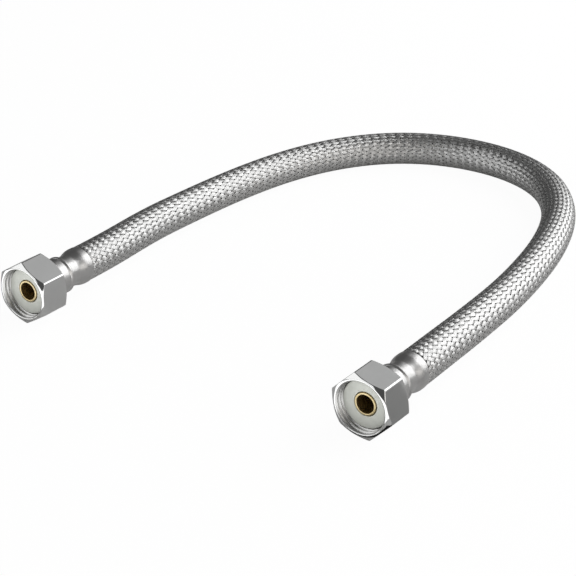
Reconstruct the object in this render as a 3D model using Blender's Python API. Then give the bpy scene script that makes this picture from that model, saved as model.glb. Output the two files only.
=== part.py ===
"""Braided faucet supply line: a steel-braided hose with a swivelling union nut on each end.

The two nut axes lie along Y with their mouths facing -Y, and the hose runs out towards +Y in
one U-shaped loop.  The ground is z = 0 and the origin is under the middle of the two fittings.
Inside each fitting, "depth" is the distance behind the nut's mouth, along +Y.
"""

import math

import bmesh
import bpy
import numpy as np
from mathutils import Vector

MM = 0.001
GAP = 0.3 * MM  # clearance between pieces that touch on the real object

# --- driving dimensions ---------------------------------------------------------------------
AXIS_SPACING = 153.7 * MM  # between the two nut axes
MOUTH_STAGGER = 1.2 * MM  # end b's mouth lies this much further along +Y than end a's
NUT_ROLL = {"a": math.radians(1.5), "b": math.radians(15.0)}  # from standing on a corner

# 7/8 in hexagon over a 1/2-14 NPSM female thread
HEX_ACROSS_FLATS = 22.2 * MM
NUT_LENGTH = 13.4 * MM
CHAMFER_RADIUS = 10.75 * MM  # the hexagon's corners are coned down to this at both faces
CHAMFER_SLOPE = math.tan(math.radians(34.0))
THREAD_PITCH = 25.4 / 14 * MM
THREAD_MAJOR_RADIUS = 10.48 * MM
THREAD_MINOR_RADIUS = 9.52 * MM
THREAD_START = 0.75 * MM
THREAD_END = 9.4 * MM
MOUTH_RADIUS = 10.35 * MM  # wide end of the lead-in chamfer
NUT_WALL_DEPTH = 10.2 * MM  # inner face of the nut's back wall
NUT_BORE_RADIUS = 6.3 * MM

# fittings along the axis
LIP_DEPTH = 3.25 * MM  # front face of the brass insert
WASHER_DEPTH = 3.5 * MM
WASHER_THICKNESS = 2.7 * MM
WASHER_RADIUS = 9.2 * MM
INSERT_BORE_RADIUS = 3.5 * MM
LIP_RADIUS = 4.3 * MM
COLLAR_RADIUS = 8.6 * MM
COLLAR_THICKNESS = 2.2 * MM
NECK_RADIUS = 5.9 * MM
GROOVE_RADIUS = 5.0 * MM
FERRULE_DEPTH = 14.2 * MM
FERRULE_END = 33.4 * MM
FERRULE_WALL = 0.5 * MM
FERRULE_BORE_RADIUS = 6.0 * MM
STEM_RADIUS = 4.15 * MM
BARB_RADIUS = 4.4 * MM
STEM_END = 31.0 * MM
HOSE_START = 16.3 * MM  # where the inner layers butt against the insert

# hose layers from the outside in: (name, outer radius, inner radius)
BRAID_RADIUS = 7.3 * MM
HOSE_LAYERS = (
    ("steel_braid", BRAID_RADIUS, 6.75 * MM),
    ("vinyl_cover", 6.5 * MM, 5.95 * MM),
    ("yarn_reinforcement", 5.7 * MM, 5.45 * MM),
    ("inner_tube", 5.2 * MM, 4.65 * MM),
)
LAYERS_IN_FERRULE = ("yarn_reinforcement", "inner_tube")
HOSE_BEVEL_RESOLUTION = 3  # ten sides
HOSE_STEP = 17.5 * MM
HOSE_LEAD = 2.0 * MM  # straight out of each ferrule, so that the ends stand square

# The loop's centreline between the two ferrules, chosen by eye: x, y, z in millimetres.
LOOP = (
    (-79.0, 39.5, 12.2),
    (-81.5, 55.5, 11.2),
    (-84.0, 73.0, 9.9),
    (-85.5, 91.0, 8.6),
    (-86.0, 109.0, 7.7),
    (-85.2, 127.0, 7.3),
    (-82.8, 145.0, 7.3),
    (-79.0, 162.5, 7.3),
    (-73.0, 179.5, 7.3),
    (-64.3, 195.0, 7.3),
    (-52.2, 208.3, 7.3),
    (-37.0, 217.5, 7.3),
    (-19.7, 222.0, 7.3),
    (-2.0, 221.7, 7.3),
    (15.0, 216.5, 7.3),
    (29.8, 206.7, 7.3),
    (41.6, 193.2, 7.3),
    (50.6, 177.5, 7.3),
    (57.1, 160.5, 7.3),
    (61.9, 143.0, 7.3),
    (65.4, 125.0, 7.3),
    (68.2, 107.3, 7.7),
    (70.6, 89.4, 8.6),
    (72.6, 71.2, 9.8),
    (74.3, 53.3, 11.0),
    (75.6, 35.6, 12.0),
)

TURNED_SIDES = 24
NUT_COLUMNS = 36
ROWS_PER_THREAD = 4

# --- places that follow from them -----------------------------------------------------------
HEX_CORNER_RADIUS = HEX_ACROSS_FLATS / math.sqrt(3)


def hex_corners(roll):
    """Angles of the hexagon's corners, from +X towards +Z, with one straight down at roll 0."""
    return [math.radians(60 * k - 90) + roll for k in range(6)]


def reach(roll, sign):
    """How far the hexagon reaches from its axis along X, to the side given by sign."""
    return max(sign * HEX_CORNER_RADIUS * math.cos(a) for a in hex_corners(roll))


def axis_height(roll):
    """Height of the axis of a nut that stands on its lowest corner."""
    return max(-HEX_CORNER_RADIUS * math.sin(a) for a in hex_corners(roll))


# The origin is under the middle of the fittings' box, so half the box lies on each side.
CENTRE_SHIFT = (reach(NUT_ROLL["a"], -1) - reach(NUT_ROLL["b"], 1)) / 2
FRONT_Y = -(FERRULE_END + MOUTH_STAGGER) / 2
MOUTH = {
    "a": Vector((-AXIS_SPACING / 2 + CENTRE_SHIFT, FRONT_Y, axis_height(NUT_ROLL["a"]))),
    "b": Vector((AXIS_SPACING / 2 + CENTRE_SHIFT, FRONT_Y + MOUTH_STAGGER,
                 axis_height(NUT_ROLL["b"]))),
}


def on_axis(end, depth):
    """The point on an end's axis at a depth behind its mouth."""
    return MOUTH[end] + Vector((0, depth, 0))


# --- materials ------------------------------------------------------------------------------
def material(name, colour, roughness, metallic):
    made = bpy.data.materials.new(name)
    made.use_nodes = True
    shader = made.node_tree.nodes["Principled BSDF"]
    shader.inputs["Base Color"].default_value = (*colour, 1)
    shader.inputs["Roughness"].default_value = roughness
    shader.inputs["Metallic"].default_value = metallic
    return made


def make_materials():
    return {
        "chrome": material("chrome", (0.72, 0.73, 0.74), 0.12, 1),
        "stainless": material("stainless", (0.62, 0.61, 0.60), 0.2, 1),
        "brass": material("brass", (0.78, 0.60, 0.30), 0.25, 1),
        "washer_rubber": material("washer_rubber", (0.50, 0.52, 0.47), 0.6, 0),
        "steel_braid": material("steel_braid", (0.60, 0.60, 0.60), 0.3, 1),
        "vinyl_cover": material("vinyl_cover", (0.05, 0.05, 0.053), 0.45, 0),
        "yarn_reinforcement": material("yarn_reinforcement", (0.85, 0.85, 0.82), 0.9, 0),
        "inner_tube": material("inner_tube", (0.80, 0.80, 0.76), 0.5, 0),
    }


# --- building blocks ------------------------------------------------------------------------
def add_object(name, data, skin, place=None, roll=0.0):
    """Links a new object, with its origin on the nut axis where a place is given."""
    made = bpy.data.objects.new(name, data)
    bpy.context.scene.collection.objects.link(made)
    data.materials.append(skin)
    if place is not None:
        made.location = place
        made.rotation_euler = (0, -roll, 0)
    return made


def ring(mesh, columns, depth, radius):
    """A ring of vertices around Y; depth and radius are numbers, or functions of the angle."""
    verts = []
    for k in range(columns):
        angle = 2 * math.pi * k / columns
        d = depth(angle) if callable(depth) else depth
        r = radius(angle) if callable(radius) else radius
        verts.append(mesh.verts.new((r * math.cos(angle), d, r * math.sin(angle))))
    return verts


def closed_surface(mesh, loops):
    """Skins a loop of rings, in order around the section, into one closed body."""
    columns = len(loops[0])
    for near, far in zip(loops, loops[1:] + loops[:1]):
        for k in range(columns):
            n = (k + 1) % columns
            mesh.faces.new((near[k], near[n], far[n], far[k]))
    bmesh.ops.recalc_face_normals(mesh, faces=mesh.faces)
    if mesh.calc_volume(signed=True) < 0:
        bmesh.ops.reverse_faces(mesh, faces=mesh.faces)


def to_mesh(name, mesh, sharp_degrees):
    data = bpy.data.meshes.new(name)
    mesh.to_mesh(data)
    mesh.free()
    data.shade_smooth()
    data.set_sharp_from_angle(angle=math.radians(sharp_degrees))
    return data


def turned(name, section, columns=TURNED_SIDES):
    """A turned ring: its section is a closed outline of (depth, radius) points."""
    mesh = bmesh.new()
    closed_surface(mesh, [ring(mesh, columns, d, r) for d, r in section])
    return to_mesh(name, mesh, 35)


# --- union nut ------------------------------------------------------------------------------
def hex_radius(angle):
    """Distance from the axis to the hexagon's flats, with a corner straight down."""
    from_flat = (angle + math.radians(90)) % math.radians(60) - math.radians(30)
    return HEX_ACROSS_FLATS / 2 / math.cos(from_flat)


def chamfer_depth(angle):
    """How far behind a face the cone meets the hexagon."""
    return (hex_radius(angle) - CHAMFER_RADIUS) * CHAMFER_SLOPE


def thread_radius(depth):
    """Wall radius of the female thread at a depth, as a function of the angle."""
    fade = min(1.0, (depth - THREAD_START) / (THREAD_PITCH / 2),
               (THREAD_END - depth) / (THREAD_PITCH / 2))
    height = (THREAD_MAJOR_RADIUS - THREAD_MINOR_RADIUS) * max(0.0, fade)

    def radius(angle):
        turn = depth / THREAD_PITCH + angle / (2 * math.pi)
        return THREAD_MINOR_RADIUS + height * (0.5 - 0.5 * math.cos(2 * math.pi * turn))

    return radius


def nut_mesh():
    """Hexagon with both ends coned, a threaded mouth and a plain hole in its back wall."""
    mesh = bmesh.new()
    relief = THREAD_MAJOR_RADIUS - GAP / 3
    rows = round((THREAD_END - THREAD_START) / (THREAD_PITCH / ROWS_PER_THREAD))
    thread = [THREAD_START + (THREAD_END - THREAD_START) * k / rows for k in range(rows + 1)]
    section = [(0.0, CHAMFER_RADIUS), (chamfer_depth, hex_radius),
               (lambda angle: NUT_LENGTH - chamfer_depth(angle), hex_radius),
               (NUT_LENGTH, CHAMFER_RADIUS), (NUT_LENGTH, NUT_BORE_RADIUS),
               (NUT_WALL_DEPTH, NUT_BORE_RADIUS), (NUT_WALL_DEPTH, relief),
               (THREAD_END + GAP, relief)]
    section += [(depth, thread_radius(depth)) for depth in reversed(thread)]
    section.append((0.0, MOUTH_RADIUS))
    closed_surface(mesh, [ring(mesh, NUT_COLUMNS, d, r) for d, r in section])
    return to_mesh("union_nut", mesh, 25)


# --- washer, insert and ferrule -------------------------------------------------------------
def washer_mesh():
    back = WASHER_DEPTH + WASHER_THICKNESS
    bore = LIP_RADIUS + GAP
    edge = 0.3 * MM
    return turned("sealing_washer", [
        (WASHER_DEPTH, bore), (WASHER_DEPTH, WASHER_RADIUS - edge),
        (WASHER_DEPTH + edge, WASHER_RADIUS), (back - edge, WASHER_RADIUS),
        (back, WASHER_RADIUS - edge), (back, bore)], NUT_COLUMNS)


def insert_mesh():
    """Brass insert: washer lip, retaining collar, neck, ferrule groove and barbed stem."""
    collar = WASHER_DEPTH + WASHER_THICKNESS + GAP
    collar_back = collar + COLLAR_THICKNESS
    groove = FERRULE_DEPTH - GAP
    groove_back = FERRULE_DEPTH + FERRULE_WALL + GAP
    shoulder_back = HOSE_START - GAP
    round_off = 0.2 * MM
    outer = [(LIP_DEPTH, LIP_RADIUS - round_off), (LIP_DEPTH + round_off, LIP_RADIUS),
             (collar, LIP_RADIUS), (collar, COLLAR_RADIUS), (collar_back, COLLAR_RADIUS),
             (collar_back, NECK_RADIUS), (groove, NECK_RADIUS), (groove, GROOVE_RADIUS),
             (groove_back, GROOVE_RADIUS), (groove_back, FERRULE_BORE_RADIUS - GAP),
             (shoulder_back, FERRULE_BORE_RADIUS - GAP), (shoulder_back, STEM_RADIUS)]
    barbs = 4
    barb_length = (STEM_END - HOSE_START - 1.5 * MM) / barbs
    for k in range(barbs):
        start = HOSE_START + 1.5 * MM + k * barb_length
        outer += [(start, BARB_RADIUS), (start + barb_length * 0.95, STEM_RADIUS)]
    return turned("barbed_insert", [(LIP_DEPTH + round_off, INSERT_BORE_RADIUS),
                                    (LIP_DEPTH, INSERT_BORE_RADIUS + round_off)]
                  + outer + [(STEM_END, STEM_RADIUS), (STEM_END, INSERT_BORE_RADIUS)])


def ferrule_mesh():
    """Crimped sleeve: front bead, thin groove, rounded ridge, narrow band and flared skirt."""
    outside = ((0.0, 6.8), (0.25, 7.3), (0.8, 7.48), (5.6, 7.5), (6.0, 7.3), (6.25, 6.95),
               (6.5, 6.95), (6.75, 7.25), (7.1, 7.42), (7.7, 7.42), (8.1, 7.2), (8.5, 6.6),
               (8.9, 6.4), (12.2, 6.38), (13.2, 6.58), (14.6, 7.05), (15.9, 7.38), (17.2, 7.48),
               (18.9, 7.45), (19.2, 7.36))
    outer = [(FERRULE_DEPTH + d * MM, r * MM) for d, r in outside]
    lip = GROOVE_RADIUS + GAP
    inner_front = FERRULE_DEPTH + FERRULE_WALL
    return turned("crimp_ferrule", outer + [
        (FERRULE_END, FERRULE_BORE_RADIUS), (inner_front, FERRULE_BORE_RADIUS),
        (inner_front, lip), (FERRULE_DEPTH, lip)])


# --- hose -----------------------------------------------------------------------------------
def smooth_curve(points, start_direction, end_direction):
    """A cubic spline through the points with even curvature, as position at a chord length."""
    given = np.array(points, float)
    chords = np.linalg.norm(np.diff(given, axis=0), axis=1)
    at = np.concatenate(([0.0], np.cumsum(chords)))
    count = len(given)
    system = np.zeros((count, count))
    wanted = np.zeros((count, 3))
    system[0, 0] = system[-1, -1] = 1.0
    wanted[0], wanted[-1] = start_direction, end_direction
    for i in range(1, count - 1):
        before, after = chords[i - 1], chords[i]
        system[i, i - 1:i + 2] = after, 2 * (before + after), before
        wanted[i] = 3 * (after / before * (given[i] - given[i - 1])
                         + before / after * (given[i + 1] - given[i]))
    slopes = np.linalg.solve(system, wanted)

    def position(s):
        i = min(max(int(np.searchsorted(at, s)) - 1, 0), count - 2)
        h = chords[i]
        t = (s - at[i]) / h
        return ((1 + 2 * t) * (1 - t) ** 2 * given[i] + t * t * (3 - 2 * t) * given[i + 1]
                + h * t * (1 - t) ** 2 * slopes[i] - h * t * t * (1 - t) * slopes[i + 1])

    return position, at[-1]


def loop_points():
    """Evenly spaced points of the loop, from one ferrule's end to the other's."""
    route = [on_axis("a", FERRULE_END + GAP), *(Vector(p) * MM for p in LOOP),
             on_axis("b", FERRULE_END + GAP)]
    position, length = smooth_curve(route, (0, 1, 0), (0, -1, 0))
    steps = round(length / HOSE_STEP)
    stops = [length * k / steps for k in range(1, steps)]
    stops = [0.0, HOSE_LEAD, *stops, length - HOSE_LEAD, length]
    return [Vector(position(stop)) for stop in stops]


def hose_layer(name, outer, inner, points, skin):
    """A hollow tube along the points: a round curve given its wall by Solidify."""
    curve = bpy.data.curves.new(name, "CURVE")
    curve.dimensions = "3D"
    curve.twist_mode = "Z_UP"
    curve.bevel_depth = outer
    curve.bevel_resolution = HOSE_BEVEL_RESOLUTION
    spline = curve.splines.new("POLY")
    spline.points.add(len(points) - 1)
    for target, point in zip(spline.points, points):
        target.co = (*point, 1)
    layer = add_object(name, curve, skin)
    wall = layer.modifiers.new("wall", "SOLIDIFY")
    wall.thickness = outer - inner
    wall.offset = -1
    wall.use_rim = True
    return layer


def make_hose(skins):
    loop = loop_points()
    inside = [on_axis("a", HOSE_START), *loop, on_axis("b", HOSE_START)]
    for name, outer, inner in HOSE_LAYERS:
        points = inside if name in LAYERS_IN_FERRULE else loop
        hose_layer(name, outer, inner, points, skins[name])


# --- assembly -------------------------------------------------------------------------------
def make_end(end, skins):
    place = MOUTH[end]
    add_object(f"union_nut_{end}", nut_mesh(), skins["chrome"], place, NUT_ROLL[end])
    add_object(f"sealing_washer_{end}", washer_mesh(), skins["washer_rubber"], place)
    add_object(f"barbed_insert_{end}", insert_mesh(), skins["brass"], place)
    add_object(f"crimp_ferrule_{end}", ferrule_mesh(), skins["stainless"], place)


def main():
    for old in list(bpy.data.objects):
        bpy.data.objects.remove(old, do_unlink=True)
    skins = make_materials()
    for end in ("a", "b"):
        make_end(end, skins)
    make_hose(skins)


main()
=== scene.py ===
"""Looks of the braided supply line: woven steel wires, crimped ferrules and chromed union nuts.

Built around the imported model, in metres.  Inside a fitting, "depth" is the distance behind the
nut's mouth, along +Y, and angles run from +X towards +Z.
"""

import math

import bpy
import numpy as np
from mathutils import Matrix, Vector


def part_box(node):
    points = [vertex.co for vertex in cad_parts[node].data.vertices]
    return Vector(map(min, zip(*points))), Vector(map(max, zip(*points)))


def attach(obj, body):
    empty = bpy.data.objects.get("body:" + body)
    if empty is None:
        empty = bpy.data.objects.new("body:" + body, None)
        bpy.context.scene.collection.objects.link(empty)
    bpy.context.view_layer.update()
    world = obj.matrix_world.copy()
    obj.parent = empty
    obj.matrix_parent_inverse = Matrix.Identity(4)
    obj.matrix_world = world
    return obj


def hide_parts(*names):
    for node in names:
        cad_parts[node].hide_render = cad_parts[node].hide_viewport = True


MM = 0.001
TURN = 2 * math.pi
ENDS = ("a", "b")

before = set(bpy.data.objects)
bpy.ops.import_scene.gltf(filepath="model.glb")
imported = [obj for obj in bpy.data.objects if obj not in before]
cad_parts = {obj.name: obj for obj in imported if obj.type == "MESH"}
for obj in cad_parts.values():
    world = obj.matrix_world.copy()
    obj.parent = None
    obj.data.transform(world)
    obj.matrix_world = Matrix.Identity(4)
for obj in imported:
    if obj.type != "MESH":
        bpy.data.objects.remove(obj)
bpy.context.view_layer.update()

# --- camera ---------------------------------------------------------------------------------
CAMERA_PLACE = (0.36225, -0.46147, 0.30979)
CAMERA_AZIMUTH = math.radians(35.33)
CAMERA_DOWN = math.radians(25.51)
LENS_MM = 111.8


def make_camera():
    data = bpy.data.cameras.new("camera")
    data.lens = LENS_MM
    data.clip_start, data.clip_end = 0.02, 20
    camera = bpy.data.objects.new("camera", data)
    bpy.context.scene.collection.objects.link(camera)
    camera.location = CAMERA_PLACE
    camera.rotation_euler = (math.radians(90) - CAMERA_DOWN, 0, CAMERA_AZIMUTH)
    bpy.context.scene.camera = camera


# --- where the fittings are -----------------------------------------------------------------
def mouth(end):
    """The middle of the nut's mouth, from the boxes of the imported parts."""
    low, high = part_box(f"sealing_washer_{end}")
    return Vector(((low.x + high.x) / 2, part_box(f"union_nut_{end}")[0].y, (low.z + high.z) / 2))


MOUTH = {end: mouth(end) for end in ENDS}
NUT_ROLL = {"a": math.radians(1.5), "b": math.radians(15.0)}
BRAID_DEPTH = 33.7 * MM  # where the braid comes out of its ferrule
HOSE_DIAMETER = 14.6 * MM

# The loop's centreline between the two ferrules: x, y, z in metres.
LOOP = (
    (-0.0790, 0.0395, 0.0122),
    (-0.0815, 0.0555, 0.0112),
    (-0.0840, 0.0730, 0.0099),
    (-0.0855, 0.0910, 0.0086),
    (-0.0860, 0.1090, 0.0077),
    (-0.0852, 0.1270, 0.0073),
    (-0.0828, 0.1450, 0.0073),
    (-0.0790, 0.1625, 0.0073),
    (-0.0730, 0.1795, 0.0073),
    (-0.0643, 0.1950, 0.0073),
    (-0.0522, 0.2083, 0.0073),
    (-0.0370, 0.2175, 0.0073),
    (-0.0197, 0.2220, 0.0073),
    (-0.0020, 0.2217, 0.0073),
    (0.0150, 0.2165, 0.0073),
    (0.0298, 0.2067, 0.0073),
    (0.0416, 0.1932, 0.0073),
    (0.0506, 0.1775, 0.0073),
    (0.0571, 0.1605, 0.0073),
    (0.0619, 0.1430, 0.0073),
    (0.0654, 0.1250, 0.0073),
    (0.0682, 0.1073, 0.0077),
    (0.0706, 0.0894, 0.0086),
    (0.0726, 0.0712, 0.0098),
    (0.0743, 0.0533, 0.0110),
    (0.0756, 0.0356, 0.0120),
)


# --- hose centreline ------------------------------------------------------------------------
def smooth_curve(points, start_direction, end_direction):
    """A cubic spline with even curvature: its position at a chord length, and the whole length."""
    given = np.array(points, float)
    chords = np.linalg.norm(np.diff(given, axis=0), axis=1)
    at = np.concatenate(([0.0], np.cumsum(chords)))
    count = len(given)
    system = np.zeros((count, count))
    wanted = np.zeros((count, 3))
    system[0, 0] = system[-1, -1] = 1.0
    wanted[0], wanted[-1] = start_direction, end_direction
    for i in range(1, count - 1):
        before, after = chords[i - 1], chords[i]
        system[i, i - 1:i + 2] = after, 2 * (before + after), before
        wanted[i] = 3 * (after / before * (given[i] - given[i - 1])
                         + before / after * (given[i + 1] - given[i]))
    slopes = np.linalg.solve(system, wanted)

    def position(s):
        i = min(max(int(np.searchsorted(at, s)) - 1, 0), count - 2)
        h = chords[i]
        t = (s - at[i]) / h
        return ((1 + 2 * t) * (1 - t) ** 2 * given[i] + t * t * (3 - 2 * t) * given[i + 1]
                + h * t * (1 - t) ** 2 * slopes[i] - h * t * t * (1 - t) * slopes[i + 1])

    return position, at[-1]


CENTRELINE_STEPS = 1200
HOSE_ENDS = {end: MOUTH[end] + Vector((0, BRAID_DEPTH, 0)) for end in ENDS}


def centreline():
    """Points along the hose's axis, from the braid's start at end a to its start at end b."""
    route = [HOSE_ENDS["a"], *LOOP, HOSE_ENDS["b"]]
    position, reach = smooth_curve(route, (0, 1, 0), (0, -1, 0))
    return np.array([position(reach * k / CENTRELINE_STEPS) for k in range(CENTRELINE_STEPS + 1)])


def unit(vectors):
    return vectors / np.linalg.norm(vectors, axis=1)[:, None]


CENTRE = centreline()
# The true length at each point of the centreline.
ALONG = np.concatenate(([0.0], np.cumsum(np.linalg.norm(np.diff(CENTRE, axis=0), axis=1))))
HOSE_LENGTH = ALONG[-1]
TANGENT = unit(np.gradient(CENTRE, ALONG, axis=0))
SIDE = unit(np.cross(TANGENT, (0, 0, 1)))
UP = np.cross(SIDE, TANGENT)


def at_length(values, s):
    """Centreline values at the lengths s."""
    return np.stack([np.interp(s, ALONG, values[:, k]) for k in range(3)], -1)


def on_hose(s, angle, radius):
    """Points around the hose: s along it, an angle from its side towards its top, a radius."""
    s = np.asarray(s, float)
    around = (np.cos(angle)[..., None] * at_length(SIDE, s)
              + np.sin(angle)[..., None] * at_length(UP, s))
    return at_length(CENTRE, s) + np.asarray(radius, float)[..., None] * around


# --- meshes ---------------------------------------------------------------------------------
def link(name, data, body, skin):
    """Puts a piece in the scene, with its material, riding on a body of the frame."""
    made = bpy.data.objects.new(name, data)
    bpy.context.scene.collection.objects.link(made)
    data.materials.append(skin)
    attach(made, body)
    return made


def face_out(vertices, faces):
    """Turns the faces of a closed body outwards."""
    a, b, c, d = (vertices[faces[:, k]] for k in range(4))
    volume = np.einsum("ij,ij->i", a, np.cross(b, c)) + np.einsum("ij,ij->i", a, np.cross(c, d))
    return faces[:, ::-1] if volume.sum() < 0 else faces


def ring_mesh(name, rings, sharp_degrees=35):
    """One closed body from rings of points, wrapped around the section and around the axis."""
    rows, columns = rings.shape[:2]
    index = np.arange(rows * columns).reshape(rows, columns)
    far, right = np.roll(index, -1, 0), np.roll(index, -1, 1)
    faces = np.stack([index, right, np.roll(far, -1, 1), far], -1).reshape(-1, 4)
    vertices = rings.reshape(-1, 3)
    data = bpy.data.meshes.new(name)
    data.from_pydata(vertices.tolist(), [], face_out(vertices, faces).tolist())
    data.shade_smooth()
    data.set_sharp_from_angle(angle=math.radians(sharp_degrees))
    return data


def turned_rings(place, section, angles):
    """Rings around Y at a place: each entry of the section is (depth, radius), in millimetres."""
    rings = []
    for depth, radius in section:
        d = depth * MM * np.ones_like(angles)
        r = radius * MM * np.ones_like(angles)
        rings.append(np.stack([r * np.cos(angles), d, r * np.sin(angles)], -1))
    return np.array(rings) + np.array(place)


def even_angles(columns):
    return np.arange(columns) * TURN / columns


def rounded(points, radius, steps=4):
    """A closed section of (depth, radius) entries with its corners rounded."""
    most = 0.45  # of a side, so that neighbouring corners stay apart
    out = []
    for i, entry in enumerate(points):
        here = np.array(entry, float)
        before = np.array(points[i - 1], float) - here
        after = np.array(points[(i + 1) % len(points)], float) - here
        cut = min(radius, np.linalg.norm(before) * most, np.linalg.norm(after) * most)
        first = here + before / np.linalg.norm(before) * cut
        last = here + after / np.linalg.norm(after) * cut
        for k in range(steps + 1):
            t = k / steps
            out.append(tuple((1 - t) ** 2 * first + 2 * t * (1 - t) * here + t * t * last))
    return out


def smooth_profile(points, steps=6):
    """Catmull-Rom curve through the points of an open profile."""
    p = np.array(points, float)
    p = np.vstack([2 * p[0] - p[1], p, 2 * p[-1] - p[-2]])
    out = []
    for i in range(1, len(p) - 2):
        for k in range(steps):
            t = k / steps
            out.append(tuple(0.5 * (2 * p[i] + (p[i + 1] - p[i - 1]) * t
                                    + (2 * p[i - 1] - 5 * p[i] + 4 * p[i + 1] - p[i + 2]) * t ** 2
                                    + (3 * p[i] - p[i - 1] - 3 * p[i + 1] + p[i + 2]) * t ** 3)))
    out.append(tuple(p[-2]))
    return out


# --- materials ------------------------------------------------------------------------------
class Skin:
    """A Principled material whose colour, roughness and bump come from procedural noise."""

    def __init__(self, name, metallic=0.0, **uniform):
        self.made = bpy.data.materials.new(name)
        self.made.use_nodes = True
        self.nodes, self.links = self.made.node_tree.nodes, self.made.node_tree.links
        self.shader = self.nodes["Principled BSDF"]
        self.shader.inputs["Metallic"].default_value = metallic
        for socket, value in uniform.items():
            self.shader.inputs[socket.replace("_", " ")].default_value = value
        self.place = self.nodes.new("ShaderNodeTexCoord").outputs["Object"]

    def stretched(self, scale):
        mapping = self.nodes.new("ShaderNodeMapping")
        mapping.inputs["Scale"].default_value = scale
        self.links.new(self.place, mapping.inputs["Vector"])
        return mapping.outputs["Vector"]

    def noise(self, scale, stretch=(1, 1, 1), detail=3.0, roughness=0.5):
        node = self.nodes.new("ShaderNodeTexNoise")
        node.inputs["Scale"].default_value = scale
        node.inputs["Detail"].default_value = detail
        node.inputs["Roughness"].default_value = roughness
        self.links.new(self.stretched(stretch), node.inputs["Vector"])
        return node.outputs["Fac"]

    def ramp(self, value, low, high, at=(0.3, 0.7)):
        """Maps a value between two colours or two numbers."""
        node = self.nodes.new("ShaderNodeValToRGB")
        for stop, where, colour in zip(node.color_ramp.elements, at, (low, high)):
            stop.position = where
            stop.color = (*colour, 1) if isinstance(colour, tuple) else (colour,) * 3 + (1,)
        self.links.new(value, node.inputs["Fac"])
        return node.outputs["Color"]

    def colour(self, value, low, high, at=(0.3, 0.7)):
        self.links.new(self.ramp(value, low, high, at), self.shader.inputs["Base Color"])
        return self

    def rough(self, value, low, high, at=(0.3, 0.7)):
        self.links.new(self.ramp(value, low, high, at), self.shader.inputs["Roughness"])
        return self

    def bump(self, value, strength, distance):
        node = self.nodes.new("ShaderNodeBump")
        node.inputs["Strength"].default_value = strength
        node.inputs["Distance"].default_value = distance
        self.links.new(value, node.inputs["Height"])
        previous = self.shader.inputs["Normal"]
        if previous.links:
            self.links.new(previous.links[0].from_socket, node.inputs["Normal"])
        self.links.new(node.outputs["Normal"], previous)
        return self


def make_skins():
    skins = {}
    chrome = Skin("polished_chrome", metallic=1.0)
    chrome.colour(chrome.noise(90), (0.70, 0.705, 0.70), (0.75, 0.755, 0.75))
    chrome.rough(chrome.noise(260, detail=5), 0.05, 0.10)
    chrome.bump(chrome.noise(110, (1, 0.4, 1), detail=2), 0.10, 0.0003)
    chrome.bump(chrome.noise(900, detail=2), 0.05, 0.00005)
    skins["chrome"] = chrome.made

    machined = Skin("machined_thread", metallic=1.0)
    machined.colour(machined.noise(200, detail=4), (0.56, 0.56, 0.55), (0.64, 0.64, 0.63))
    machined.rough(machined.noise(500, (1, 8, 1), detail=4), 0.28, 0.40)
    machined.bump(machined.noise(500, (1, 12, 1), detail=3), 0.12, 0.00005)
    skins["machined"] = machined.made

    steel = Skin("crimped_stainless", metallic=1.0)
    steel.colour(steel.noise(120), (0.58, 0.58, 0.575), (0.65, 0.645, 0.64))
    steel.rough(steel.noise(400, (1, 6, 1), detail=5), 0.30, 0.42)
    steel.bump(steel.noise(350, (1, 8, 1), detail=4), 0.12, 0.00006)
    skins["stainless"] = steel.made

    wire = Skin("braid_wire", metallic=1.0)
    wire.colour(wire.noise(700, detail=4), (0.60, 0.60, 0.595), (0.72, 0.72, 0.715))
    wire.rough(wire.noise(500, detail=4), 0.24, 0.36)
    wire.bump(wire.noise(4000, detail=2), 0.06, 0.00002)
    skins["wire"] = wire.made

    brass = Skin("turned_brass", metallic=1.0)
    brass.colour(brass.noise(260, detail=4), (0.60, 0.48, 0.25), (0.70, 0.58, 0.35))
    brass.rough(brass.noise(500, (1, 10, 1), detail=4), 0.22, 0.38)
    brass.bump(brass.noise(600, (1, 12, 1), detail=3), 0.15, 0.00005)
    skins["brass"] = brass.made

    rubber = Skin("washer_rubber")
    rubber.colour(rubber.noise(400, detail=5), (0.64, 0.66, 0.61), (0.72, 0.74, 0.69))
    rubber.rough(rubber.noise(700, detail=3), 0.5, 0.7)
    rubber.bump(rubber.noise(1800, detail=3), 0.25, 0.00008)
    skins["rubber"] = rubber.made

    # Painted shade: the cover is nearly black, so that the holes between the braid's ribbons show
    # dark.
    vinyl = Skin("vinyl")
    vinyl.colour(vinyl.noise(200, detail=3), (0.035, 0.036, 0.038), (0.06, 0.061, 0.064))
    vinyl.rough(vinyl.noise(500, detail=3), 0.35, 0.5)
    vinyl.bump(vinyl.noise(1500, detail=2), 0.1, 0.00005)
    skins["vinyl"] = vinyl.made

    yarn = Skin("polyester_yarn")
    yarn.colour(yarn.noise(1500, (1, 4, 1), detail=5), (0.68, 0.68, 0.64), (0.86, 0.86, 0.83))
    yarn.rough(yarn.noise(900), 0.8, 0.95)
    yarn.bump(yarn.noise(2500, (4, 1, 4), detail=4), 0.5, 0.0001)
    skins["yarn"] = yarn.made

    tube = Skin("inner_tube")
    tube.colour(tube.noise(300, detail=3), (0.74, 0.74, 0.70), (0.83, 0.83, 0.79))
    tube.rough(tube.noise(600, detail=3), 0.42, 0.56)
    tube.bump(tube.noise(1400, detail=2), 0.12, 0.00006)
    skins["tube"] = tube.made
    return skins


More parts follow.
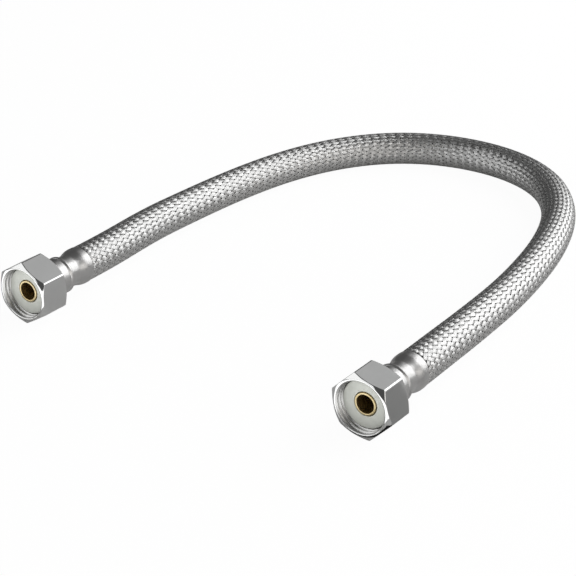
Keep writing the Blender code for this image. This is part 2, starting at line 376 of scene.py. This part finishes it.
# --- braid ----------------------------------------------------------------------------------
CARRIERS = 21  # ribbons of wire each way
WIRES = 7  # wires side by side in a ribbon
WIRE_SPACING = 0.198 * MM
WIRE_HEIGHT = 0.17 * MM
RELIEF = 0.055 * MM  # how far each wire stands out of the groove beside it
WAVE = 0.09 * MM  # how far a ribbon moves in and out as it goes over and under
BRAID_MIDDLE = HOSE_DIAMETER / 2 - WAVE - WIRE_HEIGHT / 2
FLOAT = ((-0.4, 0.85), (0.0, 1.0), (0.4, 0.85))  # place within a crossing, share of the wave
RIBBONS_PER_PIECE = 7
DIAMOND = 4.05  # length of one diamond of the weave in the middle of the hose, in millimetres
DRAWN_OUT, DRAWN_OUT_AT, DRAWN_OUT_OVER = 1.15, 72, 62  # longer diamonds behind the crimps
GATHERED, GATHERED_OVER = 1.55, 17  # shorter ones at the crimps


def braid_pitch(s):
    """Length of one diamond of the weave at a length along the hose."""
    d = np.minimum(s, HOSE_LENGTH - s) / MM
    drawn_out = DRAWN_OUT * np.exp(-((d - DRAWN_OUT_AT) / DRAWN_OUT_OVER) ** 2)
    return (DIAMOND + drawn_out - GATHERED * np.exp(-d / GATHERED_OVER)) * MM


# How many crossings a ribbon has passed at each point of the centreline.
CROSSINGS = np.concatenate(([0.0], np.cumsum(
    np.diff(ALONG) * 2 / braid_pitch((ALONG[1:] + ALONG[:-1]) / 2))))


def ribbon_section():
    """Across a ribbon: (share of the half width, height), wires on top and a flat bottom."""
    crest, groove = WIRE_HEIGHT / 2, WIRE_HEIGHT / 2 - RELIEF
    top = []
    for k in range(WIRES):
        top += [(2 * k / WIRES - 1, groove), ((2 * k + 1) / WIRES - 1, crest)]
    return [*top, (1.0, groove), (1.0, -crest), (-1.0, -crest)]


SECTION = np.array(ribbon_section())
VALLEYS = [k for k in range(len(SECTION)) if SECTION[k, 1] < WIRE_HEIGHT / 2]


def ribbon(index, hand):
    """The points of one ribbon, by station and place in its section, and each station's share
    of the whole length."""
    stations = [(m + offset, share if m % 2 == 0 else -share)
                for m in range(int(CROSSINGS[-1]) + 2) for offset, share in FLOAT]
    stations = [(u, wave) for u, wave in stations if 0 <= u <= CROSSINGS[-1]]
    u = np.array([entry[0] for entry in stations])
    wave = np.array([entry[1] for entry in stations]) * hand
    s_mid = np.interp(u, CROSSINGS, ALONG)
    around = TURN * BRAID_MIDDLE / CARRIERS
    spacing = around * np.cos(np.arctan(around / braid_pitch(s_mid)))
    half = WIRES * WIRE_SPACING / 2 / spacing
    across = half[:, None] * SECTION[None, :, 0]
    crossing = np.clip(u[:, None] - across, 0, CROSSINGS[-1])
    s = np.interp(crossing, CROSSINGS, ALONG)
    angle = hand * math.pi * (2 * (index + across) + crossing) / CARRIERS
    radius = BRAID_MIDDLE + WAVE * wave[:, None] + SECTION[None, :, 1]
    return on_hose(s, angle, radius), u / CROSSINGS[-1]


UV_MARGIN = 0.05  # of a ribbon's own strip of the UV square


def braid_piece(name, indices, hand):
    """Several ribbons as one mesh, each a closed body of its own."""
    width = len(SECTION)
    vertices, faces, uvs, base = [], [], [], 0
    for row, index in enumerate(indices):
        places, share = ribbon(index, hand)
        count = len(places)
        vertices.append(places.reshape(-1, 3))
        grid = base + np.arange(count * width).reshape(count, width)
        nxt = np.roll(grid, -1, 1)
        quads = np.stack([grid[:-1], grid[1:], nxt[1:], nxt[:-1]], -1).reshape(-1, 4)
        caps = [grid[0].tolist(), grid[-1, ::-1].tolist()]
        faces += (quads if hand > 0 else quads[:, ::-1]).tolist()
        faces += caps if hand > 0 else [cap[::-1] for cap in caps]
        across = np.linspace(UV_MARGIN, 1 - UV_MARGIN, width)
        uvs.append(np.stack(np.broadcast_arrays(
            share[:, None], ((row + across) / len(indices))[None]), -1).reshape(-1, 2))
        base += count * width
    data = bpy.data.meshes.new(name)
    data.from_pydata(np.concatenate(vertices).tolist(), [], faces)
    data.shade_smooth()
    mark_valleys(data, width)
    corners = np.zeros(len(data.loops), int)
    data.loops.foreach_get("vertex_index", corners)
    layer = data.uv_layers.new(name="OFBake")
    layer.data.foreach_set("uv", np.concatenate(uvs)[corners].astype(np.float32).ravel())
    return data


def mark_valleys(data, width):
    """Keeps the grooves between wires crisp in smooth shading."""
    pairs = np.zeros(len(data.edges) * 2, int)
    data.edges.foreach_get("vertices", pairs)
    a, b = pairs.reshape(-1, 2).T
    along = (a % width == b % width) & np.isin(a % width, VALLEYS)
    sharp = data.attributes.new("sharp_edge", "BOOLEAN", "EDGE")
    sharp.data.foreach_set("value", along)


COVER_RADIUS = 6.5 * MM
COVER_STEPS = 160


def make_hose(skins):
    """The vinyl cover, as the cord, and the woven ribbons around it."""
    cover = bpy.data.curves.new("hose_cover", "CURVE")
    cover.dimensions = "3D"
    cover.twist_mode = "Z_UP"
    cover.bevel_depth = COVER_RADIUS
    cover.bevel_resolution = 6
    cover.use_fill_caps = True
    spline = cover.splines.new("POLY")
    points = at_length(CENTRE, HOSE_LENGTH * np.arange(COVER_STEPS + 1) / COVER_STEPS)
    spline.points.add(COVER_STEPS)
    spline.points.foreach_set("co", np.column_stack([points, np.ones(COVER_STEPS + 1)]).ravel())
    hose = link("hose_cover", cover, "hose", skins["vinyl"])
    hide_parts("vinyl_cover")
    for hand, word in ((1, "right"), (-1, "left")):
        for first in range(0, CARRIERS, RIBBONS_PER_PIECE):
            indices = range(first, first + RIBBONS_PER_PIECE)
            name = f"braid_{word}_hand_{first // RIBBONS_PER_PIECE + 1}"
            piece = link(name, braid_piece(name, indices, hand), "hose", skins["wire"])
    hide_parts("steel_braid")


# --- union nut ------------------------------------------------------------------------------
FLATS = 11.1  # from the axis to a flat, in millimetres
CORNER_FILLET = 0.9
NUT_LENGTH = 13.4
CONE_RADIUS = 10.75  # of the chamfer, where it meets the mouth
CONE_SLOPE = math.tan(math.radians(34))
THREAD_PITCH = 25.4 / 14
THREAD_MINOR, THREAD_MAJOR = 9.52, 10.48
THREAD_START, THREAD_END = 0.16, 9.4
THREAD_ROWS = 85
FLANK_START, FLANK_SPAN = 0.86, 0.74  # shares of the half pitch between groove and crest
LEAD_IN_RADIUS, LEAD_IN_SLOPE = 10.08, 0.8
COLUMNS_PER_FLAT = 48

# (depth, radius), in millimetres: the rolled lip, then the back face, the hole for the insert's
# neck, the inner wall and the relief behind the thread.
NUT_LIP = ((0.08, 10.12), (0.02, 10.2), (0.0, 10.3), (0.0, 10.5), (0.02, 10.62), (0.07, 10.73))
NUT_BACK = ((NUT_LENGTH - 0.07, 10.73), (NUT_LENGTH, 10.6), (NUT_LENGTH, 8.5),
            (NUT_LENGTH, 6.6), (NUT_LENGTH - 0.09, 6.39), (NUT_LENGTH - 0.3, 6.3),
            (10.5, 6.3), (10.26, 6.36), (10.2, 6.5), (10.2, 10.3), (10.12, 10.45),
            (9.95, 10.5), (THREAD_END + 0.1, 10.5))


def nut_angles():
    """Angles around the hexagon, closer together at its corners."""
    t = (np.arange(COLUMNS_PER_FLAT) / COLUMNS_PER_FLAT) * 2 - 1
    within = math.radians(30) * np.sign(t) * np.abs(t) ** 1.5
    return np.concatenate([within + math.radians(60 * k - 90) for k in range(6)])


def hex_radius(angles):
    """Distance to a hexagon with filleted corners, one of them straight down."""
    off = (angles + math.radians(90) + math.radians(30)) % math.radians(60) - math.radians(30)
    middle = (FLATS - CORNER_FILLET) / math.cos(math.radians(30))
    limit = math.atan2(CORNER_FILLET * 0.5, middle + CORNER_FILLET * math.cos(math.radians(30)))
    flat = FLATS / np.cos(math.radians(30) - np.abs(off))
    inside = np.maximum(CORNER_FILLET ** 2 - (middle * np.sin(off)) ** 2, 0)
    return np.where(np.abs(off) < limit, middle * np.cos(off) + np.sqrt(inside), flat)


def soft_min(a, b, width=0.12):
    """The smaller of two radii, with a small fillet where they are equal."""
    h = np.clip(0.5 + 0.5 * (b - a) / width, 0, 1)
    return b * (1 - h) + a * h - width * h * (1 - h)


def thread_radius(depth, angles):
    """Wall radius of the right-hand 60 degree thread, cut back by the lead-in cone."""
    turn = depth / THREAD_PITCH + angles / TURN
    from_groove = np.abs((turn % 1.0) - 0.5) * 2
    share = np.clip((FLANK_START - from_groove) / FLANK_SPAN, 0, 1)
    lead_in = LEAD_IN_RADIUS - depth * LEAD_IN_SLOPE
    return np.maximum(THREAD_MINOR + (THREAD_MAJOR - THREAD_MINOR) * share, lead_in)


def nut_section(angles):
    """The nut's closed section, ending with the rows of the thread."""
    hexagon = hex_radius(angles)

    def outside(depth):
        cone = CONE_RADIUS + min(depth, NUT_LENGTH - depth) / CONE_SLOPE
        return soft_min(hexagon, cone * np.ones_like(angles))

    depths = [*np.arange(0.15, 1.75, 0.1), 2.0, 2.6, 4.0, NUT_LENGTH / 2]
    depths += [NUT_LENGTH - d for d in reversed(depths[:-1])]
    thread = [(d, thread_radius(d, angles))
              for d in np.linspace(THREAD_END, THREAD_START, THREAD_ROWS)]
    return [*NUT_LIP, *((d, outside(d)) for d in depths), *NUT_BACK, *thread]


def make_nut(end, skins):
    angles = nut_angles()
    section = nut_section(angles)
    machined_from = len(section) - THREAD_ROWS
    rings = turned_rings((0, 0, 0), section, angles)
    roll = NUT_ROLL[end]
    x, z = rings[..., 0].copy(), rings[..., 2].copy()
    rings[..., 0] = x * math.cos(roll) - z * math.sin(roll)
    rings[..., 2] = x * math.sin(roll) + z * math.cos(roll)
    name = f"chrome_nut_{end}"
    nut = link(name, ring_mesh(name, rings + np.array(MOUTH[end]), 50), f"nut_{end}",
               skins["chrome"])
    nut.data.materials.append(skins["machined"])
    row = np.arange(len(nut.data.polygons)) // len(angles)
    nut.data.polygons.foreach_set("material_index", (row >= machined_from).astype(int))
    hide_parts(f"union_nut_{end}")


# --- washer, insert, ferrule ----------------------------------------------------------------
# Sections as (depth, radius), in millimetres.
WASHER = ((3.5, 4.6), (3.5, 9.2), (6.2, 9.2), (6.2, 4.6))
INSERT_FRONT = ((3.25, 3.5), (3.25, 4.3), (6.5, 4.3), (6.5, 8.6), (8.7, 8.6), (8.7, 5.9),
                (13.9, 5.9), (13.9, 5.0), (15.0, 5.0), (15.0, 5.7), (16.0, 5.7), (16.0, 4.15))
INSERT_BACK = ((31.0, 4.15), (31.0, 3.5))
BARBS = 4
BARBS_START, BARBS_END = 17.8, 31.0
BARB_CREST, BARB_FOOT = 4.4, 4.15
BARB_TAPER = 0.95  # share of a barb's length
FERRULE_OUTSIDE = (
    (14.2, 6.7), (14.28, 7.1), (14.5, 7.35), (14.9, 7.47), (17.0, 7.5), (19.5, 7.5),
    (20.0, 7.4), (20.3, 7.08), (20.5, 6.95), (20.7, 7.05), (21.0, 7.32), (21.4, 7.43),
    (21.9, 7.4), (22.25, 7.15), (22.6, 6.7), (22.95, 6.45), (23.4, 6.38), (26.2, 6.38),
    (27.2, 6.52), (28.2, 6.8), (29.2, 7.12), (30.2, 7.37), (31.4, 7.48), (32.8, 7.48),
    (33.3, 7.44), (33.55, 7.34), (33.66, 7.2))
FERRULE_INSIDE = ((33.66, 7.0), (33.6, 6.4), (33.4, 6.05), (14.7, 6.0), (14.7, 5.35),
                  (14.2, 5.3), (14.2, 6.3))


def make_turned(name, end, section, columns, body, skin, node):
    """A turned piece of a fitting, in place of its CAD node."""
    rings = turned_rings(MOUTH[end], section, even_angles(columns))
    piece = link(f"{name}_{end}", ring_mesh(f"{name}_{end}", rings), body, skin)
    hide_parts(f"{node}_{end}")


def insert_section():
    length = (BARBS_END - BARBS_START) / BARBS
    barbs = []
    for k in range(BARBS):
        barbs += [(BARBS_START + k * length, BARB_CREST),
                  (BARBS_START + (k + BARB_TAPER) * length, BARB_FOOT)]
    return rounded([*INSERT_FRONT, *barbs, *INSERT_BACK], 0.2, 3)


def make_fittings(skins):
    washer = rounded(WASHER, 0.35)
    insert = insert_section()
    ferrule = [*smooth_profile(FERRULE_OUTSIDE, 4), *FERRULE_INSIDE]
    for end in ENDS:
        make_nut(end, skins)
        make_turned("rubber_washer", end, washer, 128, f"washer_{end}", skins["rubber"],
                    "sealing_washer")
        make_turned("brass_insert", end, insert, 96, "hose", skins["brass"], "barbed_insert")
        make_turned("steel_ferrule", end, ferrule, 128, "hose", skins["stainless"],
                    "crimp_ferrule")


def dress_cad(skins):
    """Materials for the two CAD meshes that stay as they are, inside the hose."""
    for node, skin in (("yarn_reinforcement", "yarn"), ("inner_tube", "tube")):
        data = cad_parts[node].data
        data.materials.clear()
        data.materials.append(skins[skin])


# --- studio ---------------------------------------------------------------------------------
FLOOR_REACH = 3.0
FLOOR_HEIGHT = -0.00005
CARD_HEIGHT = 0.0003
FLOOR_GLOW, FLOOR_GLOW_SHARE = 1.06, 0.9  # what the camera sees in place of the lit floor
BACKDROP_GLOW = 0.9  # added to the sky's own light where the camera looks past the floor
SKY_LIGHT = 0.085


def panel(name, place, target, size, radiance, colour=(1, 1, 1)):
    """A soft box: an area light of the given size, aimed at a target."""
    data = bpy.data.lights.new(name, "AREA")
    data.shape = "RECTANGLE"
    data.size, data.size_y = size
    data.energy = radiance * math.pi * size[0] * size[1]
    data.color = colour
    light = bpy.data.objects.new(name, data)
    bpy.context.scene.collection.objects.link(light)
    light.location = place
    towards = Vector(target) - Vector(place)
    light.rotation_euler = towards.to_track_quat("-Z", "Y").to_euler()
    light.visible_camera = False


def lay_sheet(name, outline, height, material, shade, roughness):
    """A flat plain sheet at a height: the object and its material."""
    data = bpy.data.meshes.new(name)
    data.from_pydata([(*corner, 0.0) for corner in outline], [], [range(len(outline))])
    sheet = bpy.data.objects.new(name, data)
    bpy.context.scene.collection.objects.link(sheet)
    sheet.location.z = height
    made = bpy.data.materials.new(material)
    made.use_nodes = True
    shader = made.node_tree.nodes["Principled BSDF"]
    shader.inputs["Base Color"].default_value = (shade, shade, shade, 1)
    shader.inputs["Roughness"].default_value = roughness
    data.materials.append(made)
    return sheet, made


def floor_card(name, shade, outline):
    """A card lying beside the line, which only reflections show: it paints shade into the
    reflections in the metal.
    """
    card, _ = lay_sheet(name, outline, CARD_HEIGHT, name, shade, 1.0)
    card.visible_camera = card.visible_shadow = card.visible_diffuse = False


def make_floor():
    """A plain floor, which the camera sees as white with a little of the line's shadow."""
    r = FLOOR_REACH
    floor, made = lay_sheet("floor", ((-r, -r), (r, -r), (r, r), (-r, r)), FLOOR_HEIGHT,
                            "studio_white", 0.8, 0.9)
    nodes, links = made.node_tree.nodes, made.node_tree.links
    shader = nodes["Principled BSDF"]
    shader.inputs["Specular IOR Level"].default_value = 0.0
    glow = nodes.new("ShaderNodeEmission")
    glow.inputs["Strength"].default_value = FLOOR_GLOW
    mix = nodes.new("ShaderNodeMixShader")
    path = nodes.new("ShaderNodeLightPath")
    share = nodes.new("ShaderNodeMath")
    share.operation = "MULTIPLY"
    share.inputs[1].default_value = FLOOR_GLOW_SHARE
    links.new(path.outputs["Is Camera Ray"], share.inputs[0])
    links.new(share.outputs[0], mix.inputs["Fac"])
    links.new(shader.outputs[0], mix.inputs[1])
    links.new(glow.outputs[0], mix.inputs[2])
    links.new(mix.outputs[0], nodes["Material Output"].inputs["Surface"])


def make_world():
    """A dim even sky, which the camera sees as a white backdrop."""
    world = bpy.data.worlds.new("studio")
    bpy.context.scene.world = world
    world.use_nodes = True
    nodes, links = world.node_tree.nodes, world.node_tree.links
    back = nodes["Background"]
    back.inputs["Color"].default_value = (1.0, 1.0, 1.0, 1)
    strength = nodes.new("ShaderNodeMath")
    strength.operation = "MULTIPLY_ADD"
    strength.inputs[1].default_value = BACKDROP_GLOW
    strength.inputs[2].default_value = SKY_LIGHT
    links.new(nodes.new("ShaderNodeLightPath").outputs["Is Camera Ray"], strength.inputs[0])
    links.new(strength.outputs[0], back.inputs["Strength"])


def make_lights():
    """Soft boxes behind, beside and in front, and cards on the floor that paint shade into the
    reflections.
    """
    middle = (0.0, 0.08, 0.0)
    panel("window", (0.60, 1.25, 0.66), middle, (1.6, 1.05), 1.85)
    panel("high_window", (0.62, 0.80, 1.26), middle, (1.1, 0.5), 1.8)
    panel("back_light", (-0.22, 1.25, 1.15), middle, (0.75, 0.7), 0.42)
    panel("front_fill", (-0.95, -1.2, 0.62), middle, (2.4, 1.1), 1.15)
    panel("side_fill", (1.45, -0.40, 0.55), middle, (2.4, 0.9), 1.25, (1.0, 0.97, 0.935))
    panel("light_table", (-0.03, -0.20, 0.0005), (-0.03, -0.20, 1.0), (0.62, 0.34), 1.25)
    # Painted reflection: a grey card, seen only in reflections, darkens the reflection in nut b's
    # right flat.
    floor_card("side_shade_card", 0.42, ((0.090, -0.014), (0.17, 0.076), (0.17, 0.094),
                                   (0.090, 0.004)))
    # Painted shadow: a black strip, seen only in reflections, darkens the lower right of nut b's
    # mouth as a contact shadow would.
    floor_card("front_shadow_card", 0.01, ((0.070, -0.022), (0.105, -0.022), (0.105, -0.0165),
                                    (0.070, -0.0165)))


def main():
    scene = bpy.context.scene
    scene.view_settings.view_transform = "Standard"
    make_camera()
    skins = make_skins()
    make_hose(skins)
    make_fittings(skins)
    dress_cad(skins)
    make_floor()
    make_world()
    make_lights()


main()
